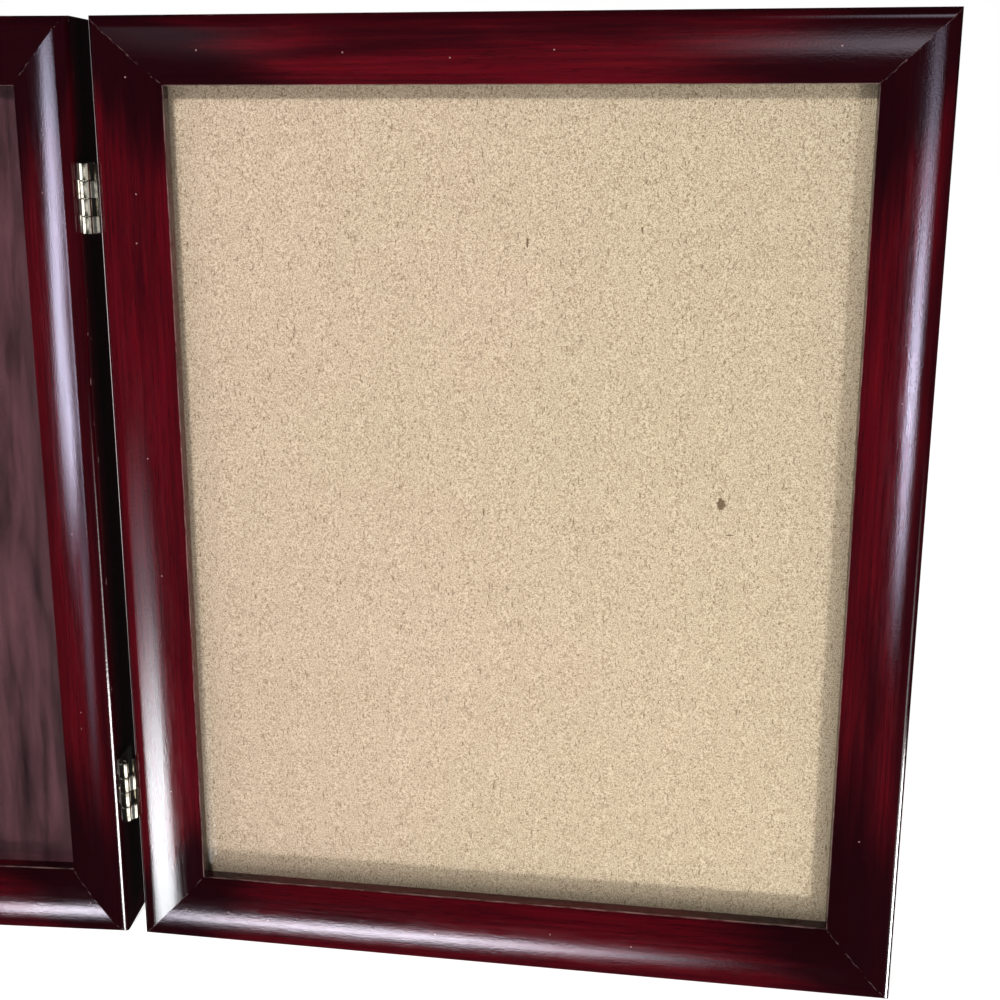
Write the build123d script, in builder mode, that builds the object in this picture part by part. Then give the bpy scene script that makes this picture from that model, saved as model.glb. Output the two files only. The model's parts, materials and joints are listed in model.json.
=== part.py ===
from build123d import *
import os
from math import cos, radians, sin

# Hinged double photo frame: two glazed wings that fold like a book on two butt hinges.
# Lengths are in millimetres and angles in degrees.
# The wings stand in a shallow V that opens towards -Y, with the hinge axis in the YZ plane.

# Picture, glass and backing
photo_width = 203.2
photo_height = 254.0
glass_thickness = 2.0
picture_thickness = 0.3
picture_trim = 0.5
board_thickness = 5.5
rabbet_allowance = 0.8

# Moulding section
moulding_width = 18.4
lip_overlap = 6.8
lip_thickness = 4.0
face_drop = 6.0
shoulder_radius = 3.0
shoulder_turn = 14.0
sight_arris_radius = 0.5
back_chamfer = 0.6

# Stance of the two wings
fold_angle = 4.0
wing_gap = 5.6
axis_proud = 0.3

# Butt hinges
hinge_height = 19.3
lower_hinge_inset = 50.0
upper_hinge_inset = 48.9
knuckle_count = 4
knuckle_gap = 0.2
knuckle_wall = 0.75
pin_radius = 0.7
pin_clearance = 0.05
leaf_thickness = 1.0
leaf_width = 12.0
leaf_corner_radius = 1.5
leaf_relief = 0.4
leaf_ramp = 1.4

# Countersunk screws that hold the hinge leaves
leaf_screw_radius = 0.9
leaf_screw_head_radius = 1.6
leaf_screw_length = 9.0
leaf_screw_margin = 4.5
screw_play = 0.05

# Turn buttons on the stiles that hold the backing board, and their pan head screws
button_width = 8.0
button_span = 10.0
button_thickness = 1.0
button_lift = 0.1
button_bore_clearance = 0.05
button_screw_radius = 1.3
button_screw_head_radius = 2.4
button_screw_head_height = 1.2
button_screw_head_chamfer = 0.5
button_screw_length = 10.0

# V nails that lock the mitres from behind
nail_leg = 5.0
nail_thickness = 0.6
nail_depth = 7.0
nail_inset = 4.0

# Sizes that follow from the ones above
sight_width = photo_width + 2 * (rabbet_allowance - lip_overlap)
sight_height = photo_height + 2 * (rabbet_allowance - lip_overlap)
wing_width = sight_width + 2 * moulding_width
wing_height = sight_height + 2 * moulding_width
land_width = moulding_width - lip_overlap
lip_back = face_drop + lip_thickness
picture_front = lip_back + glass_thickness
board_front = picture_front + picture_thickness
moulding_depth = board_front + board_thickness
knuckle_bore = pin_radius + pin_clearance
knuckle_radius = knuckle_bore + knuckle_wall
knuckle_height = (hinge_height - (knuckle_count - 1) * knuckle_gap) / knuckle_count
knuckle_pitch = knuckle_height + knuckle_gap
leaf_face = wing_gap / 2 - leaf_thickness
leaf_front = knuckle_radius + leaf_relief
button_back = moulding_depth + button_lift + button_thickness
screw_back = button_back + screw_play + button_screw_head_height

# The origin is under the middle of the standing frame, so the hinge axis lies a little forward of it
half_fold = radians(fold_angle / 2)
far_shoulder = wing_gap / 2 + wing_width - shoulder_radius
stance_front = (axis_proud + shoulder_radius) * cos(half_fold) - far_shoulder * sin(half_fold) - shoulder_radius
head_rim = wing_gap / 2 + land_width / 2 - button_screw_head_radius + button_screw_head_chamfer
stance_back = (axis_proud + screw_back) * cos(half_fold) - head_rim * sin(half_fold)
hinge_y = -(stance_front + stance_back) / 2

# The right wing's upright plane through the hinge axis: X across the wing, Y up, Z out of its front
wing = Plane(
    origin=(0, hinge_y, 0),
    x_dir=(cos(half_fold), -sin(half_fold), 0),
    z_dir=(-sin(half_fold), -cos(half_fold), 0),
)
across = wing.x_dir
up = wing.y_dir
front = wing.z_dir


def wing_point(u, v, depth):
    """A point of the right wing: u from its hinge side, v from its foot, depth behind its crest."""
    return wing.from_local_coords(Vector(wing_gap / 2 + u, v, -(axis_proud + depth)))


# Each rail of the right wing runs round the frame from a corner: corner, inward, along and length
rails = {
    "hinge_stile": ((0, 0), across, up, wing_height),
    "top_rail": ((0, wing_height), -up, across, wing_width),
    "outer_stile": ((wing_width, wing_height), -across, -up, wing_height),
    "bottom_rail": ((wing_width, 0), up, -across, wing_width),
}
button_rails = ("hinge_stile", "outer_stile")


def rail_start(name):
    """The plane at a rail's first corner: X inward, Y to the back, Z along the rail."""
    (u, v), inward, along, _ = rails[name]
    return Plane(origin=wing_point(u, v, 0), x_dir=inward, z_dir=along)


def button_seat(name):
    """The plane on the middle of a rail's back land: X inward over the board, Z out of the back."""
    start = rail_start(name)
    middle = Vector(land_width / 2, moulding_depth, rails[name][3] / 2)
    return Plane(origin=start.from_local_coords(middle), x_dir=start.x_dir, z_dir=-front)


def corner_back(name):
    """The plane on the back at a rail's first corner: X inward, Y along the rail, Z to the front."""
    start = rail_start(name)
    return Plane(origin=start.from_local_coords(Vector(0, moulding_depth, 0)), x_dir=start.x_dir, z_dir=front)


def hinge_section(height):
    """The level plane of a hinge: X from the hinge axis across the wing, Y to the back."""
    return Plane(origin=(0, hinge_y, height), x_dir=across, z_dir=up)


hinge_feet = {
    "lower": lower_hinge_inset - hinge_height / 2,
    "upper": wing_height - upper_hinge_inset - hinge_height / 2,
}


def leaf_screw_seats(foot):
    """The planes on a hinge leaf's open face where its screws go in, Z out of the leaf."""
    middle = (leaf_front + leaf_width) / 2
    section = hinge_section(foot)
    for height in (leaf_screw_margin, hinge_height - leaf_screw_margin):
        spot = section.from_local_coords(Vector(leaf_face, middle, height))
        yield Plane(origin=spot, x_dir=up, z_dir=-across)


def screw_section(seat):
    """The plane through a screw's axis: X out from the axis, Y along it into the wood."""
    return Plane(origin=seat.origin, x_dir=seat.x_dir, z_dir=seat.y_dir)


def write(piece, name):
    """Label one piece and write it."""
    piece.part.label = name
    export_step(piece.part, f"parts/{name}.step")


def write_twin(piece, name):
    """Write the mirror image of a right-hand piece for the left wing."""
    with BuildPart() as twin:
        mirror(piece.part, about=Plane.YZ)
    write(twin, name)


def write_pair(piece, name):
    """Write the right wing's piece and its twin on the left wing."""
    write(piece, f"right_{name}")
    write_twin(piece, f"left_{name}")


def glazing_sheet(depth, thickness, trim):
    """A flat sheet that lies in the rabbet, its front at the given depth."""
    middle = wing_point(wing_width / 2, wing_height / 2, depth)
    with BuildPart() as sheet:
        with BuildSketch(Plane(origin=middle, x_dir=across, z_dir=-front)):
            Rectangle(photo_width - 2 * trim, photo_height - 2 * trim)
        extrude(amount=thickness)
    return sheet


def moulding(name, nails):
    """One mitred length of rabbeted moulding with a rounded shoulder and a crowned, sloping face."""
    start = rail_start(name)
    length = rails[name][3]
    end = start.origin + start.z_dir * length
    with BuildPart() as rail:
        with BuildSketch(start) as profile:
            with BuildLine():
                Line((0, moulding_depth), (0, shoulder_radius))
                shoulder = CenterArc((shoulder_radius, shoulder_radius), shoulder_radius, 180, 90 + shoulder_turn)
                TangentArc(shoulder @ 1, (moulding_width, face_drop), tangent=shoulder % 1)
                Polyline(
                    (moulding_width, face_drop),
                    (moulding_width, lip_back),
                    (land_width, lip_back),
                    (land_width, moulding_depth),
                    (0, moulding_depth),
                )
            make_face()
            fillet(profile.vertices().group_by(Axis.X)[-1].sort_by(Axis.Y)[0], sight_arris_radius)
            chamfer(profile.vertices().group_by(Axis.Y)[-1].sort_by(Axis.X)[0], back_chamfer)
        extrude(amount=length)
        split(bisect_by=Plane(origin=start.origin, x_dir=front, z_dir=start.z_dir - start.x_dir))
        split(bisect_by=Plane(origin=end, x_dir=front, z_dir=-start.z_dir - start.x_dir))
        add(nails, mode=Mode.SUBTRACT)
        if name in button_rails:
            with Locations(button_seat(name).location):
                Hole(button_screw_radius + screw_play, depth=button_screw_length)
        if name == "hinge_stile":
            for foot in hinge_feet.values():
                for seat in leaf_screw_seats(foot):
                    with Locations(seat.location):
                        Hole(leaf_screw_radius + screw_play, depth=leaf_screw_length + screw_play)
    return rail


def hinge_leaf(foot, first_knuckle):
    """A butt hinge leaf that lies on the stile's side, with every other knuckle rolled round the pin."""
    with BuildPart() as leaf:
        with BuildSketch(hinge_section(foot)):
            with Locations(((leaf_face + wing_gap / 2) / 2, (leaf_front + leaf_width) / 2)):
                Rectangle(leaf_thickness, leaf_width - leaf_front)
        extrude(amount=hinge_height)
        corners = leaf.edges().filter_by(Axis((0, 0, 0), across)).sort_by(Axis((0, 0, 0), -front))[-2:]
        fillet(corners, leaf_corner_radius)
        for seat in leaf_screw_seats(foot):
            with Locations(seat.location):
                CounterSinkHole(
                    leaf_screw_radius + screw_play,
                    leaf_screw_head_radius + screw_play,
                    counter_sink_angle=90,
                )
        for knuckle in range(first_knuckle, knuckle_count, 2):
            with BuildSketch(hinge_section(foot + knuckle * knuckle_pitch)):
                Circle(knuckle_radius)
                with BuildLine():
                    Polyline(
                        (knuckle_bore, 0),
                        (knuckle_radius, 0),
                        (wing_gap / 2, leaf_ramp),
                        (wing_gap / 2, leaf_front),
                        (leaf_face, leaf_front),
                        close=True,
                    )
                make_face()
                Circle(knuckle_bore, mode=Mode.SUBTRACT)
            extrude(amount=knuckle_height)
    return leaf


def hinge_pin(foot):
    """The plain pin of one hinge."""
    with BuildPart() as pin:
        with BuildSketch(hinge_section(foot)):
            Circle(pin_radius)
        extrude(amount=hinge_height)
    return pin


def turn_button(name):
    """A flat turn button that swings on its screw, locked over the edge of the backing board."""
    seat = button_seat(name)
    with BuildPart() as button:
        with BuildSketch(seat.offset(button_lift)):
            with Locations((button_span / 2, 0)):
                SlotCenterToCenter(button_span, button_width)
            Circle(button_screw_radius + button_bore_clearance, mode=Mode.SUBTRACT)
        extrude(amount=button_thickness)
    return button


os.makedirs("parts", exist_ok=True)

# V nails, one across each mitre, flush with the back
with BuildPart() as corner_nails:
    nail_end = nail_inset + nail_leg
    nail_inside = nail_inset + nail_thickness
    for rail_name in rails:
        with BuildSketch(corner_back(rail_name)):
            with BuildLine():
                Polyline(
                    (nail_inset, nail_inset),
                    (nail_end, nail_inset),
                    (nail_end, nail_inside),
                    (nail_inside, nail_inside),
                    (nail_inside, nail_end),
                    (nail_inset, nail_end),
                    close=True,
                )
            make_face()
        extrude(amount=nail_depth)
write_pair(corner_nails, "corner_nails")

# The four mitred rails of each wing
for rail_name in rails:
    write_pair(moulding(rail_name, corner_nails.part), rail_name)

# What lies in the rabbet, from the front: glass, picture and board
write_pair(glazing_sheet(lip_back, glass_thickness, 0), "glass")
write_pair(glazing_sheet(board_front, board_thickness, 0), "backing_board")
write_twin(glazing_sheet(picture_front, picture_thickness, picture_trim), "left_insert_sheet")

# Turn buttons, one at the middle of each stile
for rail_name in button_rails:
    write_pair(turn_button(rail_name), f"{rail_name}_button")

# Pan head screws that the buttons swing on
with BuildPart() as button_screws:
    for rail_name in button_rails:
        head = button_seat(rail_name).offset(button_lift + button_thickness + screw_play)
        with BuildSketch(screw_section(head)) as outline:
            with BuildLine():
                Polyline(
                    (0, -button_screw_head_height),
                    (button_screw_head_radius, -button_screw_head_height),
                    (button_screw_head_radius, 0),
                    (button_screw_radius, 0),
                    (button_screw_radius, button_screw_length),
                    (0, button_screw_length),
                    close=True,
                )
            make_face()
            rim = outline.vertices().group_by(Axis.Y)[0].sort_by(Axis.X)[-1]
            chamfer(rim, button_screw_head_chamfer)
        revolve(axis=Axis(head.origin, head.z_dir))
write_pair(button_screws, "button_screws")

# Butt hinges: the right leaf has the lowest knuckle, the left leaf the one above it
for hinge_name, hinge_foot in hinge_feet.items():
    write(hinge_leaf(hinge_foot, 0), f"{hinge_name}_hinge_right_leaf")
    write_twin(hinge_leaf(hinge_foot, 1), f"{hinge_name}_hinge_left_leaf")
    write(hinge_pin(hinge_foot), f"{hinge_name}_hinge_pin")

# Countersunk screws through the hinge leaves into the stiles
with BuildPart() as hinge_screws:
    for hinge_foot in hinge_feet.values():
        for leaf_seat in leaf_screw_seats(hinge_foot):
            with BuildSketch(screw_section(leaf_seat)):
                with BuildLine():
                    Polyline(
                        (0, 0),
                        (leaf_screw_head_radius, 0),
                        (leaf_screw_radius, leaf_screw_head_radius - leaf_screw_radius),
                        (leaf_screw_radius, leaf_screw_length),
                        (0, leaf_screw_length),
                        close=True,
                    )
                make_face()
            revolve(axis=Axis(leaf_seat.origin, leaf_seat.z_dir))
write_pair(hinge_screws, "hinge_screws")
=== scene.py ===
import json
from collections import namedtuple
from functools import partial, partialmethod, reduce
from math import asin, atan2, cos, pi, radians, sin

import bmesh
import bpy
from bmesh.types import BMEdge, BMFace, BMVert
from bpy.props import FloatProperty, FloatVectorProperty, IntProperty, PointerProperty
from bpy.types import Operator, Panel, PropertyGroup
from mathutils import Matrix, Vector


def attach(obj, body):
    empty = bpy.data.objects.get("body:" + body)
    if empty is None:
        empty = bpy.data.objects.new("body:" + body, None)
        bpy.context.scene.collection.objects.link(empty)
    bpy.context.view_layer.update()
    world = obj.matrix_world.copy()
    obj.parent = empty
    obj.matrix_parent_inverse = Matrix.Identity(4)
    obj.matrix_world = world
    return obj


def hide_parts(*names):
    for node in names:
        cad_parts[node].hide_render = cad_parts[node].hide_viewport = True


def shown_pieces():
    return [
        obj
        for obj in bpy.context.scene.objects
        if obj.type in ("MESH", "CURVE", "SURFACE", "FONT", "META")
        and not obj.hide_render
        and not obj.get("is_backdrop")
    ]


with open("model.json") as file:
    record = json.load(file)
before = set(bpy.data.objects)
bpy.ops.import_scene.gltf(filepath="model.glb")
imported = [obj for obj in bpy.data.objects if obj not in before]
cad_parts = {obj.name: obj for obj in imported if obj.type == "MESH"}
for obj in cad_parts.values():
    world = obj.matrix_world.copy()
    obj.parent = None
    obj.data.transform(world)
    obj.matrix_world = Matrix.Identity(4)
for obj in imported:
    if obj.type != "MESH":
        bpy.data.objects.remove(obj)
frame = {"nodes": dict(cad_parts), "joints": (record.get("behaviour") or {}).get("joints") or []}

bl_info = {
    "name": "Hinged double photo frame",
    "version": (1, 0, 0),
    "blender": (4, 5, 0),
    "location": "3D View > Sidebar > Photo Frame",
    "description": "Builds the rails, glazing, hinges and turn buttons of a hinged double photo frame",
    "category": "Object",
}

MM = 0.001
MERGE_DISTANCE = 0.001 * MM
SHARP_ANGLE = radians(32)
RAIL_SHARP_ANGLE = radians(12)
CORNER_ANGLE = radians(50)

SIDES = ("right", "left")
RAIL_NAMES = ("hinge_stile", "top_rail", "outer_stile", "bottom_rail")
STILE_NAMES = ("hinge_stile", "outer_stile")
HINGE_NAMES = ("lower", "upper")

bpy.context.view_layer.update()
joints = {joint["name"]: joint for joint in frame["joints"]}


def node_box(node, place):
    """Lowest and highest corner of a CAD node, along the directions of a place."""
    to_place = place.inverted()
    points = [to_place @ vertex.co for vertex in frame["nodes"][node].data.vertices]
    return Vector(map(min, zip(*points))), Vector(map(max, zip(*points)))


# The fold place stands on the hinge axis: X across the right wing, Y to its back, Z up
button_axis = Vector(joints["right_hinge_stile_button_turn"]["axis"])
hinge_axis = Vector(joints["wing_fold"]["pos_m"])
hinge_axis.z = 0
fold_turn = Matrix.Rotation(-atan2(button_axis.x, button_axis.y), 4, "Z")
fold_place = Matrix.Translation(hinge_axis) @ fold_turn

# The wing place has its origin at the foot of the wing's hinge side, level with the crest of the moulding
stile_low, stile_high = node_box("right_hinge_stile", fold_place)
wing_place = fold_place @ Matrix.Translation((stile_low.x, stile_low.y, 0))
moulding_width = stile_high.x - stile_low.x
moulding_depth = stile_high.y - stile_low.y
wing_height = stile_high.z
wing_width = node_box("right_outer_stile", wing_place)[1].x
glass_front = node_box("right_glass", wing_place)[0].y
board_low, board_high = node_box("right_backing_board", wing_place)
button_low, button_high = node_box("right_hinge_stile_button", wing_place)
button_screw_back = node_box("right_button_screws", wing_place)[1].y

# The hinges' sizes, and how high each one's foot is
leaf_low, leaf_high = node_box("lower_hinge_right_leaf", fold_place)
hinge_height = leaf_high.z - leaf_low.z
knuckle_radius = -leaf_low.y
pin_radius = node_box("lower_hinge_pin", fold_place)[1].x
hinge_feet = {name: node_box(f"{name}_hinge_right_leaf", fold_place)[0].z for name in HINGE_NAMES}

# The left wing is the right one's mirror image
SIDE_TURNS = {"right": Matrix(), "left": Matrix.Scale(-1, 4, (1, 0, 0))}


def measure(label, words, millimetres):
    """A length property with its default."""
    return FloatProperty(name=label, description=words, default=millimetres * MM, unit="LENGTH")


class MouldingSizes(PropertyGroup):
    """The section of the frame's moulding."""

    shoulder_radius: measure("Shoulder radius", "Round of the outer shoulder", 3.0)
    shoulder_turn: FloatProperty(
        name="Shoulder turn", description="How far the shoulder rolls past its crest",
        default=radians(14), subtype="ANGLE")
    face_drop: measure("Face drop", "From the crest back to the sight edge", 6.0)
    lip_overlap: measure("Lip overlap", "How far the lip covers the glass", 6.8)
    sight_round: measure("Sight edge round", "Round of the edge beside the glass", 0.45)
    back_chamfer: measure("Back chamfer", "Chamfer of the outer back edge", 0.6)
    mitre_ease: measure("Mitre ease", "Small bevel on each mitred end", 0.12)
    shoulder_steps: IntProperty(
        name="Shoulder steps", description="Facets round the shoulder", default=26)
    crown_steps: IntProperty(
        name="Crown steps", description="Facets across the crowned face", default=20)


class HingeSizes(PropertyGroup):
    """The butt hinges."""

    knuckle_count: IntProperty(
        name="Knuckles", description="Knuckles of one hinge, both leaves together", default=4)
    knuckle_gap: measure("Knuckle gap", "Slit between two knuckles", 0.2)
    knuckle_wall: measure("Knuckle wall", "Thickness of the rolled strip", 0.75)
    leaf_thickness: measure("Leaf thickness", "Thickness of the plate", 1.0)
    leaf_front: measure("Leaf front", "Where the plate starts behind the axis", 1.9)
    leaf_ramp: measure("Leaf ramp", "Where the strip reaches the plate's plane", 1.4)
    corner_radius: measure("Corner radius", "Round of the plate's rear corners", 1.5)
    screw_radius: measure("Screw radius", "Shank of the leaf screws", 0.9)
    screw_head_radius: measure("Screw head radius", "Countersunk head of the leaf screws", 1.6)
    screw_length: measure("Screw length", "Length of the leaf screws", 9.0)
    screw_margin: measure("Screw margin", "From the hinge's ends to its screws", 4.5)


class ButtonSizes(PropertyGroup):
    """The turn buttons and their screws."""

    span: measure("Span", "Between the two round ends' centres", 10.0)
    bore_radius: measure("Bore radius", "Hole for the screw", 1.35)
    screw_radius: measure("Screw radius", "Shank of the pan head screws", 1.3)
    head_radius: measure("Head radius", "Radius of the pan head", 2.4)
    head_height: measure("Head height", "Height of the pan head", 1.2)
    head_round: measure("Head round", "Round of the pan head's rim", 0.6)
    screw_length: measure("Screw length", "Length below the head", 10.0)


def colour(label, words, *rgb):
    """A colour property with its default."""
    return FloatVectorProperty(
        name=label, description=words, default=rgb, subtype="COLOR", size=3, min=0, max=1)


class FinishColours(PropertyGroup):
    """The colours of the finishes."""

    stain_red: colour("Red stain", "Cherry stain where it is thin", 0.092, 0.0016, 0.0050)
    stain_dark: colour("Dark stain", "Cherry stain in the dark streaks", 0.023, 0.0010, 0.0028)
    # The darkest tone: the dark line at the mitres, dark patches, the darkening towards both ends of each
    # rail, and painted shade on the shoulder and the outer side
    dark_stain_and_shade: colour("Corner stain", "Stain that gathered at the mitres", 0.007, 0.0007, 0.0018)
    worn_edge: colour("Worn edge", "Wood where the stain has worn off", 0.42, 0.25, 0.24)
    board_pale: colour("Pale board", "Fibreboard between its flecks", 0.65, 0.515, 0.395)
    board_brown: colour("Brown board", "Darker cloud of the fibreboard", 0.385, 0.275, 0.19)
    board_fleck: colour("Board fleck", "Dark fibres in the fibreboard", 0.10, 0.055, 0.025)
    card: colour("Card", "Plain card behind the left glass", 0.082, 0.031, 0.039)
    nickel: colour("Nickel", "Plating of the hinges", 0.66, 0.62, 0.52)
    zinc: colour("Zinc", "Plating of the buttons and screws", 0.56, 0.56, 0.55)
    steel: colour("Steel", "Bare steel of the corner nails", 0.36, 0.35, 0.34)
    floor: colour("Floor", "Plain pale floor", 0.86, 0.86, 0.85)


def opaque(rgb):
    """A colour with full alpha, as a node socket takes it."""
    return (*rgb, 1.0)


class NodeTree:
    """A node tree built by short calls, whose inputs are sockets to link or plain values to set."""

    def __init__(self, holder, output="OutputMaterial"):
        holder.use_nodes = True
        self.holder = holder
        self.nodes = holder.node_tree.nodes
        self.links = holder.node_tree.links
        self.nodes.clear()
        self.output = self.node(output)

    def feed(self, socket, value):
        """Link a socket to another, or set its value."""
        if isinstance(value, bpy.types.NodeSocket):
            self.links.new(value, socket)
        else:
            socket.default_value = value

    def node(self, kind, inputs=(), **settings):
        """Add one node, with its settings and its inputs, by name or in order."""
        made = self.nodes.new("ShaderNode" + kind)
        for name, value in settings.items():
            setattr(made, name, value)
        for key, value in inputs.items() if isinstance(inputs, dict) else enumerate(inputs):
            self.feed(made.inputs[key], value)
        return made

    def math(self, operation, *values, kind="Math"):
        """The result of one operation on one, two or three values."""
        return self.node(kind, values, operation=operation).outputs[0]

    # The same for vectors
    vector = partialmethod(math, kind="VectorMath")

    def length(self, vector):
        """How long a vector is."""
        return self.node("VectorMath", {"Vector": vector}, operation="LENGTH").outputs["Value"]

    def noise(self, place, scale, detail=2.0, roughness=0.5):
        """Cloudy noise from 0 to 1."""
        inputs = {"Vector": place, "Scale": scale, "Detail": detail, "Roughness": roughness}
        return self.node("TexNoise", inputs).outputs["Fac"]

    def stretched(self, place, scales, detail=2.0, roughness=0.5):
        """Cloudy noise with its own scale along each axis."""
        return self.noise(self.vector("MULTIPLY", place, scales), 1.0, detail, roughness)

    def rise(self, value, low, high):
        """0 below low and 1 above high, smooth between; turned round where low is the greater."""
        inputs = {"Value": value, "From Min": low, "From Max": high}
        return self.node("MapRange", inputs, interpolation_type="SMOOTHSTEP").outputs["Result"]

    def span(self, value, low, high):
        """Rescale 0 to 1 between low and high."""
        inputs = {"Value": value, "To Min": low, "To Max": high}
        return self.node("MapRange", inputs).outputs["Result"]

    def chain(self, operation, *values):
        """One operation from value to value, through all of them."""
        return reduce(partial(self.math, operation), values)

    # The sum of values, where every mask holds, and where at least one does
    add = partialmethod(chain, "ADD")
    all_of = partialmethod(chain, "MULTIPLY")
    any_of = partialmethod(chain, "MAXIMUM")

    def blend(self, factor, first, second):
        """Mix two colours."""
        return self.node("Mix", {0: factor, 6: first, 7: second}, data_type="RGBA").outputs[2]

    def paint(self, base, mask, share, rgb):
        """Lay a colour over a base where a mask holds, up to a share."""
        return self.blend(self.span(mask, 0.0, share), base, opaque(rgb))

    def parts(self, place):
        """The three numbers of a vector."""
        return self.node("SeparateXYZ", {"Vector": place}).outputs

    def attribute(self, name):
        """A vector that the piece's mesh carries."""
        return self.node("Attribute", attribute_name=name).outputs["Vector"]

    def place(self):
        """Where a point lies on the object, in metres."""
        return self.node("TexCoord").outputs["Object"]

    def bump(self, height, distance, strength):
        """A normal roughened by a height."""
        inputs = {"Height": height, "Distance": distance, "Strength": strength}
        return self.node("Bump", inputs).outputs["Normal"]

    def surface(self, **inputs):
        """Finish the material with a Principled shader."""
        named = {name.replace("_", " "): value for name, value in inputs.items()}
        return self.finish(self.node("BsdfPrincipled", named))

    def finish(self, surface):
        """Send a shader node to the output and return what holds the tree."""
        self.feed(self.output.inputs["Surface"], surface.outputs[0])
        return self.holder

    def mix(self, factor, first, second):
        """Mix two shader nodes."""
        return self.node("MixShader", (factor, first.outputs[0], second.outputs[0]))


END_STAIN_WANDER = 22 * MM
SHOULDER_STAIN_WANDER = 6 * MM
FULL_STAIN_SHARE = 0.3


def cherry_lacquer(colours):
    """Dark cherry stain under gloss lacquer, with grain along each rail, wear on its edges, and painted shade
    on its shoulder and outer side.
    """
    tree = NodeTree(bpy.data.materials.new("cherry_lacquer"))
    rail = tree.attribute("rail_place")
    ends = tree.parts(tree.attribute("rail_ends"))
    across, depth, along = tree.parts(rail)
    tone = tree.parts(tree.attribute("rail_tone"))
    mitre = tree.math("MINIMUM", ends["X"], ends["Y"])
    clouds = tree.stretched(rail, (160, 160, 14), 3.0, 0.55)
    streaks = tree.stretched(rail, (1100, 700, 26), 3.0, 0.6)
    pores = tree.stretched(rail, (3200, 2200, 170), 2.0, 0.55)
    rough = tree.stretched(rail, (900, 900, 160), 3.0, 0.6)

    # The figure of the wood, from dark streaks to thin red stain
    figure = tree.add(tree.span(clouds, -0.28, 0.72), tree.span(streaks, -0.3, 0.7))
    figure = tree.math("SUBTRACT", figure, tree.span(tree.rise(pores, 0.56, 0.68), 0.0, 0.22))
    red = tree.rise(figure, -0.05, 1.08)
    base = tree.blend(red, opaque(colours.stain_dark), opaque(colours.stain_red))

    # Darker towards both ends and in patches, with painted shade on the shoulder and on the outer side
    drift = tree.span(clouds, -1.0, 1.0)
    darkened = []
    for from_end, reach in ((ends["X"], tone["Y"]), (ends["Y"], tone["Z"])):
        wandering = tree.math("MULTIPLY_ADD", drift, END_STAIN_WANDER, from_end)
        full = tree.math("MULTIPLY", reach, FULL_STAIN_SHARE)
        darkened.append(tree.rise(wandering, reach, full))
    # Painted shade on the outer part of the face by the shoulder, as strong as each rail's share
    wandering = tree.math("MULTIPLY_ADD", drift, SHOULDER_STAIN_WANDER, across)
    shoulder = tree.rise(wandering, 10 * MM, 1 * MM)
    patches = tree.rise(tree.stretched(rail, (70, 70, 11)), 0.52, 0.72)
    darkened.append(tree.all_of(tree.any_of(shoulder, patches), tone["X"]))
    base = tree.paint(base, tree.any_of(*darkened), 0.93, colours.dark_stain_and_shade)
    # Painted shade on the outer side face
    side = tree.all_of(tree.rise(across, 0.3 * MM, 0.1 * MM), tree.rise(depth, 3 * MM, 5 * MM))
    base = tree.paint(base, side, 0.8, colours.dark_stain_and_shade)

    # Wear on the sight edge, along the mitres and on the outer edge, and the mitres' dark line
    sight_edge = tree.all_of(
        tree.rise(across, moulding_width - 0.22 * MM, moulding_width - 0.1 * MM),
        tree.rise(depth, 6.6 * MM, 6.3 * MM),
        tree.span(tree.rise(rough, 0.36, 0.60), 0.05, 0.5),
    )
    mitre_edge = tree.all_of(
        tree.rise(mitre, 0.30 * MM, 0.18 * MM),
        tree.span(tree.rise(rough, 0.50, 0.62), 0.0, 0.4),
    )
    outer_edge = tree.all_of(
        tree.rise(across, 0.4 * MM, 0.1 * MM),
        tree.rise(depth, 4.2 * MM, 3.4 * MM),
        tree.rise(rough, 0.66, 0.72),
    )
    worn = tree.any_of(sight_edge, mitre_edge, outer_edge)
    base = tree.paint(base, worn, 0.8, colours.worn_edge)
    base = tree.blend(tree.rise(mitre, 0.16 * MM, 0.06 * MM), base, opaque(colours.dark_stain_and_shade))

    # Specks of dust on the front, in some cells of a flat pattern
    spread = tree.node("CombineXYZ", {"X": across, "Y": along}).outputs["Vector"]
    specks = tree.node("TexVoronoi", {"Vector": spread, "Scale": 85.0}, voronoi_dimensions="2D")
    dust = tree.all_of(
        tree.rise(specks.outputs["Distance"], 0.024, 0.011),
        tree.rise(tree.parts(specks.outputs["Color"])["X"], 0.68, 0.72),
        tree.rise(across, 0.2 * MM, 0.5 * MM),
        tree.rise(depth, 7 * MM, 6.5 * MM),
    )
    base = tree.paint(base, dust, 0.55, colours.worn_edge)

    # Gloss that is brushed along the grain, and duller on the back and where it is worn
    rub = tree.stretched(rail, (260, 260, 30), 3.0)
    back = tree.rise(depth, moulding_depth - 1.2 * MM, moulding_depth - 0.5 * MM)
    brushed = tree.add(tree.span(streaks, -0.05, 0.05), tree.span(rough, -0.07, 0.07))
    duller = (tree.span(back, 0.0, 0.3), tree.span(worn, 0.0, 0.3))
    roughness = tree.add(tree.span(rub, 0.08, 0.15), brushed, *duller)
    pits = tree.noise(rail, 1500.0, 2.0, 0.6)
    relief = tree.add(tree.span(streaks, 0.0, 0.5), tree.span(pores, 0.0, 0.5))
    relief = tree.add(relief, tree.span(pits, 0.0, 1.5))
    normal = tree.bump(relief, 0.02 * MM, 0.55)
    return tree.surface(Base_Color=base, Roughness=roughness, Normal=normal, IOR=1.5)


HEAD_ON_MIRROR = 0.043


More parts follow.
